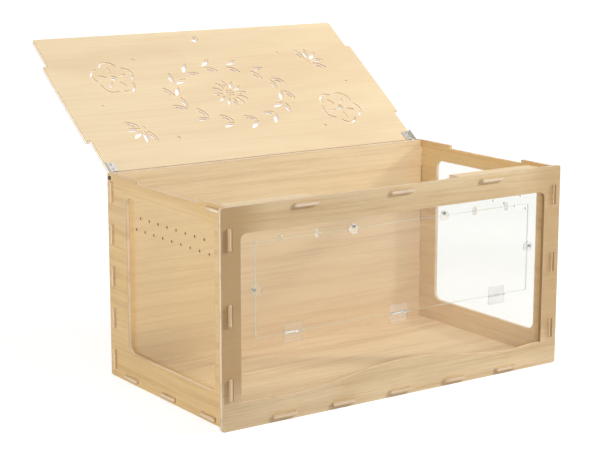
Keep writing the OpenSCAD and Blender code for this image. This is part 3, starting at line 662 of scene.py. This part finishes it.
def metal(name, colour, low, high, smudge, metallic=1.0):
    """Plated or blackened steel, duller where it has been handled."""
    mat, g, shader, place = material(name)
    marks = placed(g, smudge, Place=place, Size=120.0, Low=low, High=high)
    dull = tuple(c * 0.8 for c in colour)
    g.put(shader.inputs["Base Color"], g.mix(g.math("MULTIPLY", marks["Mask"], 0.5), colour, dull))
    g.put(shader.inputs["Roughness"], marks["Roughness"])
    shader.inputs["Metallic"].default_value = metallic
    bump = g.add("ShaderNodeBump", Height=marks["Height"], Strength=0.08, Distance=0.0002)
    g.put(shader.inputs["Normal"], bump.outputs[0])
    return mat


class CAGE_OT_fittings(bpy.types.Operator):
    """Finish the metal fittings: brackets, screws, nuts, washers, bolts, pins and magnets"""

    bl_idname = "cage.fittings"
    bl_label = "Metal fittings"

    def execute(self, context):
        settings = context.scene.cage_metal
        smudge = smudge_group()
        give(PLATED, metal("zinc_plated_steel", tuple(settings.plated), 0.35, 0.55, smudge, 0.5))
        give(PINS + MAGNETS, metal("nickel", tuple(settings.nickel), 0.15, 0.35, smudge))
        give(BOLTS, metal("black_oxide_steel", tuple(settings.oxide), 0.3, 0.5, smudge, 0.6))
        return {"FINISHED"}


# ---------- stage ----------


# The floor's far look takes over across this stretch, in metres from the middle of the cage's front
FLOOR_FADE = (1.1, 2.4)

# Where the key lamp stands, the point that it faces, the width of its square in metres, and its colour
KEY_LAMP = ((4.14, -2.07, 2.73), (0.0, 0.0, 0.3), 0.63, (1.0, 0.99, 0.97))

# The other lamps: a name, with which the setting for its power begins, and the same four values
LAMPS = [
    ("fill", (-3.0, 0.1, 0.9), (0, 0.25, 0.25), 1.6, (1.0, 0.98, 0.95)),
    ("top", (0.0, 0.2, 3.0), (0, 0.25, 0.3), 3.0, (1, 1, 1)),
    ("front", (-0.6, -3.6, 0.9), (0, 0.2, 0.3), 2.5, (1, 1, 1)),
    ("rear", (1.2, 3.2, 1.3), (0, 0.25, 0.3), 2.0, (1, 1, 1)),
]


def in_sight(g, gloss):
    """1 on what is seen directly or through clear sheets, gloss on what is seen in gloss, else 0."""
    path = g.add("ShaderNodeLightPath").outputs
    seen = g.math("MULTIPLY_ADD", path["Is Glossy Ray"], gloss, path["Is Camera Ray"])
    return g.math("ADD", seen, path["Is Transmission Ray"], clamp=True)


def floor_material(settings):
    """Pale floor: it takes the shadow, and its even glow is added only to what is in sight.

    Light from other rays finds its plain colour. In sight it is greyer near the cage, where the shadow
    falls, and further off it fades to its glow alone.
    """
    mat, g, shader, place = material("pale_floor")
    shader.inputs["Roughness"].default_value = 0.9
    shader.inputs["Specular IOR Level"].default_value = 0.0
    seen = in_sight(g, settings.gloss)
    away = g.ramp(g.vector("LENGTH", place), *FLOOR_FADE)
    cloud = g.math("MULTIPLY", g.noise(place, 3.0), 0.05)
    plain_colour = g.mix(cloud, tuple(settings.floor_colour), (1, 1, 1))
    seen_colour = g.mix(away, tuple(settings.floor_seen), (0, 0, 0))
    g.put(shader.inputs["Base Color"], g.mix(seen, plain_colour, seen_colour))
    glow = g.ramp(away, 0.0, 1.0, settings.floor_glow, settings.floor_far)
    shader.inputs["Emission Color"].default_value = (1, 1, 1, 1)
    g.put(shader.inputs["Emission Strength"], g.math("MULTIPLY", seen, glow))
    return mat


def lamp(name, place, aim, size, colour, power):
    """A square area lamp that faces the point aim."""
    data = bpy.data.lights.new(name, "AREA")
    data.size = size
    data.energy = power
    data.color = colour
    obj = bpy.data.objects.new(name, data)
    obj.location = place
    obj.rotation_euler = (Vector(aim) - Vector(place)).to_track_quat("-Z", "Y").to_euler()
    bpy.context.scene.collection.objects.link(obj)
    return obj


def pass_through(light, name):
    """Lets one lamp's light pass through a CAD node, which then casts no shadow in it."""
    blockers = bpy.data.collections.new("no_shadow_" + name)
    blockers.objects.link(NODES[name])
    light.light_linking.blocker_collection = blockers
    blockers.collection_objects[0].light_linking.link_state = "EXCLUDE"


def key_lamps(power, unshaded):
    """The key lamp as two in one place, one of which the right side panel doesn't shade.

    That one has the share unshaded of the power, so that the panel's shadow inside the cage stays faint.
    """
    place, aim, size, colour = KEY_LAMP
    lamp("key", place, aim, size, colour, power * (1 - unshaded))
    pass_through(lamp("key_unshaded", place, aim, size, colour, power * unshaded), "right_side_panel")


def room_light(strength, gloss):
    """Even room light; seen directly or through clear sheets it is plain white, and greyer in gloss."""
    world = bpy.data.worlds.new("room")
    bpy.context.scene.world = world
    world.use_nodes = True
    g = Graph(world.node_tree)
    level = g.math("MULTIPLY_ADD", in_sight(g, gloss), 1 - strength, strength)
    back = g.add("ShaderNodeBackground", Color=(1, 1, 1), Strength=level)
    g.put(g.add("ShaderNodeOutputWorld").inputs["Surface"], back.outputs[0])


def add_floor(settings):
    """One square face at the height 0, marked as stage."""
    half = settings.floor_size / 2
    mesh = bpy.data.meshes.new("floor")
    corners = [(x, y, 0.0) for x, y in ((-half, -half), (half, -half), (half, half), (-half, half))]
    mesh.from_pydata(corners, [], [(0, 1, 2, 3)])
    floor = bpy.data.objects.new("floor", mesh)
    mesh.materials.append(floor_material(settings))
    bpy.context.scene.collection.objects.link(floor)


def add_camera(settings):
    """The scene's camera, from its settings."""
    data = bpy.data.cameras.new("camera")
    data.sensor_width = 36.0
    data.lens = settings.lens
    data.clip_end = 100
    camera = bpy.data.objects.new("camera", data)
    camera.location = settings.camera_place
    camera.rotation_euler = settings.camera_turn
    bpy.context.scene.collection.objects.link(camera)
    bpy.context.scene.camera = camera


class CAGE_OT_stage(bpy.types.Operator):
    """Set up the pale floor, the soft lamps and the camera"""

    bl_idname = "cage.stage"
    bl_label = "Stage"

    def execute(self, context):
        settings = context.scene.cage_stage
        add_floor(settings)
        room_light(settings.ambient, settings.gloss)
        key_lamps(settings.key_power, settings.key_unshaded)
        for name, place, aim, size, colour in LAMPS:
            lamp(name, place, aim, size, colour, getattr(settings, name + "_power"))
        add_camera(settings)
        context.scene.view_settings.view_transform = "Standard"
        return {"FINISHED"}


# ---------- panel and registration ----------

SETTINGS = {
    "cage_wood": CageWoodSettings,
    "cage_pane": CagePaneSettings,
    "cage_metal": CageMetalSettings,
    "cage_stage": CageStageSettings,
}
OPERATORS = [CAGE_OT_panels, CAGE_OT_panes, CAGE_OT_fittings, CAGE_OT_stage]


class CAGE_PT_sidebar(bpy.types.Panel):
    """Lists the steps that finish the cage, each with its settings."""

    bl_idname = "CAGE_PT_sidebar"
    bl_label = "Hamster cage"
    bl_space_type = "VIEW_3D"
    bl_region_type = "UI"
    bl_category = "Hamster cage"

    def draw(self, context):
        for operator in OPERATORS:
            self.layout.operator(operator.bl_idname)
        for name, group in SETTINGS.items():
            box = self.layout.box()
            box.label(text=group.__name__)
            for prop in group.__annotations__:
                box.prop(getattr(context.scene, name), prop)


def register():
    for part in (*SETTINGS.values(), *OPERATORS, CAGE_PT_sidebar):
        bpy.utils.register_class(part)
    for name, group in SETTINGS.items():
        setattr(bpy.types.Scene, name, bpy.props.PointerProperty(type=group))


def unregister():
    for name in SETTINGS:
        delattr(bpy.types.Scene, name)
    for part in (CAGE_PT_sidebar, *reversed(OPERATORS), *reversed(list(SETTINGS.values()))):
        bpy.utils.unregister_class(part)


def main():
    register()
    bpy.ops.cage.panels()
    bpy.ops.cage.panes()
    bpy.ops.cage.fittings()
    bpy.ops.cage.stage()
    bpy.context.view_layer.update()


if __name__ == "__main__":
    main()
